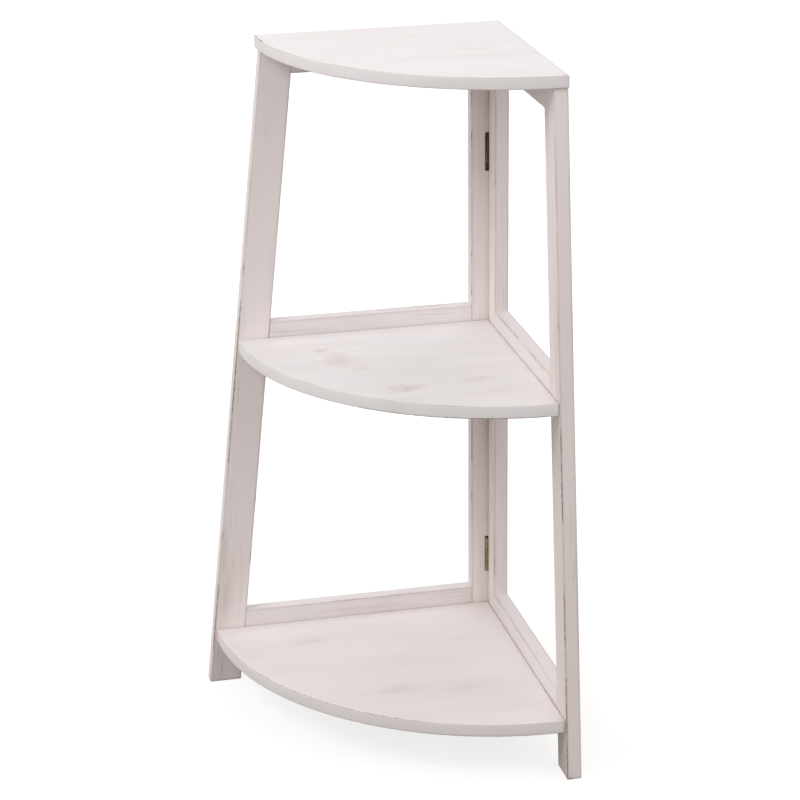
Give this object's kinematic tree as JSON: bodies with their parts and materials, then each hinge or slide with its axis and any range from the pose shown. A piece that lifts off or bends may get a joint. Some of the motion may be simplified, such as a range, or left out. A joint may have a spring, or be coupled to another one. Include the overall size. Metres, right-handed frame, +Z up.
{
  "type": "corner shelf",
  "caption": "Free-standing folding corner shelf: hinged ladder frames with leaning front legs carry loose quarter-round shelves, in whitewashed wood with aged brass hinges.",
  "frame": {"origin": "on the floor, at the centre of the footprint's square", "axes": "+Z up; the left frame stands against the wall at +Y and the right frame against the wall at +X, so the room side faces -X and -Y"},
  "size_m": [0.37, 0.37, 0.8],
  "materials": {
    "whitewashed_pine": "whitewashed softwood, matt, paint rubbed thin along the edges",
    "whitewashed_shelf": "whitewashed softwood board, matt, faint grain and knots",
    "bare_pine": "bare softwood and dowel",
    "antique_brass": "aged brass plate, dull",
    "dark_brass": "darkened brass pin and screws",
    "zinc_screw": "zinc-plated steel screw"
  },
  "bodies": {
    "left_frame": {"left_post": "whitewashed_pine", "left_leg": "whitewashed_pine", "left_top_rail": "whitewashed_pine", "left_middle_rail": "whitewashed_pine", "left_bottom_rail": "whitewashed_pine", "left_frame_dowels": "bare_pine", "left_middle_cleat": "whitewashed_pine", "left_bottom_cleat": "whitewashed_pine", "left_cleat_screws": "zinc_screw", "top_shelf_dowels": "bare_pine", "upper_hinge_left_leaf": "antique_brass", "upper_hinge_pin": "dark_brass", "lower_hinge_left_leaf": "antique_brass", "lower_hinge_pin": "dark_brass", "left_leaf_screws": "dark_brass"},
    "right_frame": {"right_post": "whitewashed_pine", "right_leg": "whitewashed_pine", "right_top_rail": "whitewashed_pine", "right_middle_rail": "whitewashed_pine", "right_bottom_rail": "whitewashed_pine", "right_frame_dowels": "bare_pine", "right_middle_cleat": "whitewashed_pine", "right_bottom_cleat": "whitewashed_pine", "right_cleat_screws": "zinc_screw", "upper_hinge_right_leaf": "antique_brass", "lower_hinge_right_leaf": "antique_brass", "right_leaf_screws": "dark_brass"},
    "top_shelf": {"top_shelf": "whitewashed_shelf"},
    "middle_shelf": {"middle_shelf": "whitewashed_shelf"},
    "bottom_shelf": {"bottom_shelf": "whitewashed_shelf"}
  },
  "joints": [
    {"name": "frame_fold", "type": "hinge", "parent": "left_frame", "child": "right_frame", "pos_m": [0.1664, 0.16775, 0], "axis": [0, 0, -1], "range_deg": [0, 70]},
    {"name": "middle_shelf_draw", "type": "slide", "parent": "left_frame", "child": "middle_shelf", "axis": [-0.7071, -0.7071, 0], "range_m": [0, 0.64]},
    {"name": "bottom_shelf_draw", "type": "slide", "parent": "left_frame", "child": "bottom_shelf", "axis": [-0.7071, -0.7071, 0], "range_m": [0, 0.64]},
    {"name": "top_shelf_lift", "type": "slide", "parent": "left_frame", "child": "top_shelf", "axis": [0, 0, 1], "range_m": [0, 0.15]}
  ],
  "couplings": [
    {"joint": "middle_shelf_draw", "follows": "frame_fold", "m_per_rad": 0.52},
    {"joint": "bottom_shelf_draw", "follows": "frame_fold", "m_per_rad": 0.52}
  ]
}
